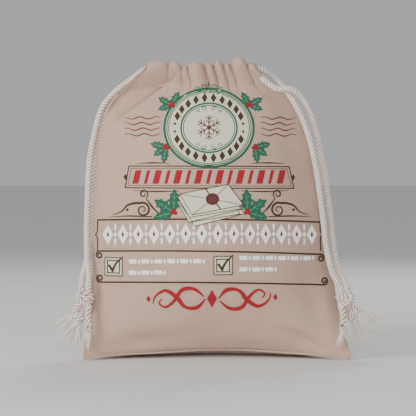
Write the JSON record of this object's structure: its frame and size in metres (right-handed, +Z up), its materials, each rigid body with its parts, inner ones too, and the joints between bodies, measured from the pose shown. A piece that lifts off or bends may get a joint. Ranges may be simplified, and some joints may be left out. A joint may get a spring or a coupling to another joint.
{
  "type": "drawstring mail sack",
  "caption": "Standing drawstring sack of cotton canvas with a gathered casing mouth and twisted cords knotted together at both sides, with frayed tassel ends.",
  "frame": {"origin": "on the surface that the sack stands on, at the middle of the box around the cloth, seams and casings", "axes": "+Z up, +X to the viewer's right seen from the printed front, -Y to the front"},
  "size_m": [0.3514, 0.1258, 0.33],
  "materials": {
    "cotton_canvas": "matt plain-weave cotton canvas, taupe",
    "cotton_cord": "soft three-strand twisted cotton, off-white",
    "seam_thread": "matt sewing thread and rolled seam edge, taupe"
  },
  "bodies": {
    "sack": {"front_panel": "cotton_canvas", "back_panel": "cotton_canvas", "left_side_seam": "seam_thread", "right_side_seam": "seam_thread", "bottom_seam": "seam_thread", "front_casing_stitching": "seam_thread", "back_casing_stitching": "seam_thread"},
    "front_mouth": {"front_casing": "cotton_canvas", "front_cord_casing_run": "cotton_cord"},
    "back_mouth": {"back_casing": "cotton_canvas", "back_cord_casing_run": "cotton_cord"},
    "left_cords": {"front_cord_left_run": "cotton_cord", "back_cord_left_run": "cotton_cord", "left_joining_knot": "cotton_cord"},
    "right_cords": {"front_cord_right_run": "cotton_cord", "back_cord_right_run": "cotton_cord", "right_joining_knot": "cotton_cord"},
    "left_inner_end": {"left_inner_tail": "cotton_cord", "left_inner_end_knot": "cotton_cord", "left_inner_tassel": "cotton_cord"},
    "left_outer_end": {"left_outer_tail": "cotton_cord", "left_outer_end_knot": "cotton_cord", "left_outer_fan_tassel": "cotton_cord", "left_outer_flick_tassel": "cotton_cord"},
    "right_inner_end": {"right_inner_tail": "cotton_cord", "right_inner_end_knot": "cotton_cord", "right_inner_tassel": "cotton_cord"},
    "right_outer_end": {"right_outer_tail": "cotton_cord", "right_outer_end_knot": "cotton_cord", "right_outer_fan_tassel": "cotton_cord", "right_outer_flick_tassel": "cotton_cord"}
  },
  "joints": [
    {"name": "front_mouth_open", "type": "hinge", "parent": "sack", "child": "front_mouth", "pos_m": [0, -0.014, 0.302], "axis": [1, 0, 0], "range_deg": [0, 15]},
    {"name": "back_mouth_open", "type": "hinge", "parent": "sack", "child": "back_mouth", "pos_m": [0, 0.014, 0.302], "axis": [1, 0, 0], "range_deg": [-15, 0]},
    {"name": "left_cords_lift", "type": "hinge", "parent": "sack", "child": "left_cords", "pos_m": [-0.072, 0, 0.322], "axis": [0, 1, 0], "range_deg": [0, 65]},
    {"name": "right_cords_lift", "type": "hinge", "parent": "sack", "child": "right_cords", "pos_m": [0.042, 0, 0.324], "axis": [0, -1, 0], "range_deg": [0, 65]},
    {"name": "left_inner_end_swing", "type": "hinge", "parent": "left_cords", "child": "left_inner_end", "pos_m": [-0.1385, -0.0445, 0.053], "axis": [0, 1, 0], "range_deg": [0, 60]},
    {"name": "left_outer_end_swing", "type": "hinge", "parent": "left_cords", "child": "left_outer_end", "pos_m": [-0.1485, -0.035, 0.053], "axis": [0, 1, 0], "range_deg": [0, 45]},
    {"name": "right_inner_end_swing", "type": "hinge", "parent": "right_cords", "child": "right_inner_end", "pos_m": [0.1355, -0.0445, 0.053], "axis": [0, -1, 0], "range_deg": [0, 60]},
    {"name": "right_outer_end_swing", "type": "hinge", "parent": "right_cords", "child": "right_outer_end", "pos_m": [0.1455, -0.035, 0.053], "axis": [0, -1, 0], "range_deg": [0, 45]}
  ],
  "couplings": [
    {"joint": "back_mouth_open", "follows": "front_mouth_open", "ratio": -1}
  ]
}
